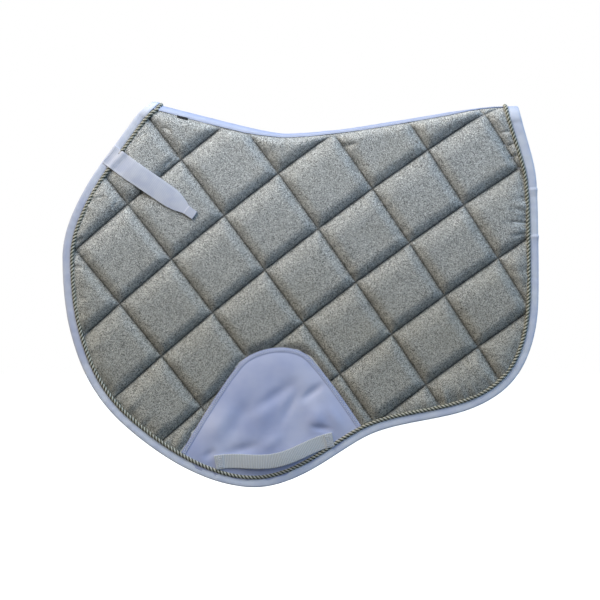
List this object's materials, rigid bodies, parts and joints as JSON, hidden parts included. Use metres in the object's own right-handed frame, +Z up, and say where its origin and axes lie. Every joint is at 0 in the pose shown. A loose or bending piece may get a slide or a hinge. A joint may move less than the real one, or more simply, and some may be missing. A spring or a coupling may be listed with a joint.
{
  "type": "saddle pad",
  "caption": "Close-contact saddle pad with quilted glitter shell, white binding, twisted piping, girth patches with loops and front billet straps, hung over a rail.",
  "frame": {"origin": "underside of the spine arch at its lowest dip, in the middle between the flaps, where a rail bears", "axes": "+X from the front (withers) to the rear, +Y to the pad's right, +Z up"},
  "size_m": [0.693, 0.0632, 0.5604],
  "materials": {
    "glitter_fabric": "silver-grey woven cloth with fine glitter flakes",
    "lining_fabric": "soft white cotton twill",
    "wadding": "white polyester wadding",
    "binding_fabric": "cool white folded cotton tape",
    "piping_cord": "twisted cord, khaki and pale gold strands",
    "patch_fabric": "smooth cool white coated cloth",
    "loop_webbing": "grey-white ribbed webbing",
    "strap_webbing": "fine white woven strap",
    "sewing_thread": "white thread",
    "hook_tape": "white hook tape",
    "loop_tape": "white pile tape",
    "label_fabric": "black woven label"
  },
  "bodies": {
    "spine": {"spine_tape": "binding_fabric", "spine_lining_tape": "binding_fabric", "care_label": "label_fabric", "front_arch_binding": "binding_fabric", "rear_arch_binding": "binding_fabric", "front_arch_cord": "piping_cord", "rear_arch_cord": "piping_cord", "left_arch_shell": "glitter_fabric", "left_arch_wadding": "wadding", "left_arch_lining": "lining_fabric", "right_arch_shell": "glitter_fabric", "right_arch_wadding": "wadding", "right_arch_lining": "lining_fabric"},
    "left_flap": {"left_shell": "glitter_fabric", "left_wadding": "wadding", "left_lining": "lining_fabric", "left_binding": "binding_fabric", "left_cord": "piping_cord", "left_girth_patch": "patch_fabric", "left_girth_loop": "loop_webbing", "left_loop_tacks": "sewing_thread", "left_strap_root": "strap_webbing", "left_root_stitching": "sewing_thread"},
    "right_flap": {"right_shell": "glitter_fabric", "right_wadding": "wadding", "right_lining": "lining_fabric", "right_binding": "binding_fabric", "right_cord": "piping_cord", "right_girth_patch": "patch_fabric", "right_girth_loop": "loop_webbing", "right_loop_tacks": "sewing_thread", "right_strap_root": "strap_webbing", "right_root_stitching": "sewing_thread"},
    "left_strap": {"left_billet_strap": "strap_webbing", "left_hook_tape": "hook_tape", "left_loop_tape": "loop_tape", "left_strap_tab": "strap_webbing"},
    "right_strap": {"right_billet_strap": "strap_webbing", "right_hook_tape": "hook_tape", "right_loop_tape": "loop_tape", "right_strap_tab": "strap_webbing"}
  },
  "joints": [
    {"name": "left_flap_hinge", "type": "hinge", "parent": "spine", "child": "left_flap", "pos_m": [0, -0.015, -0.01], "axis": [-1, 0, 0], "range_deg": [-1, 90]},
    {"name": "right_flap_hinge", "type": "hinge", "parent": "spine", "child": "right_flap", "pos_m": [0, 0.015, -0.01], "axis": [1, 0, 0], "range_deg": [-1, 90]},
    {"name": "left_strap_hinge", "type": "hinge", "parent": "left_flap", "child": "left_strap", "pos_m": [-0.23808, -0.0214, -0.04321], "axis": [-0.6909, 0, -0.723], "range_deg": [0, 100]},
    {"name": "right_strap_hinge", "type": "hinge", "parent": "right_flap", "child": "right_strap", "pos_m": [-0.23808, 0.0214, -0.04321], "axis": [0.6909, 0, 0.723], "range_deg": [0, 100]}
  ]
}
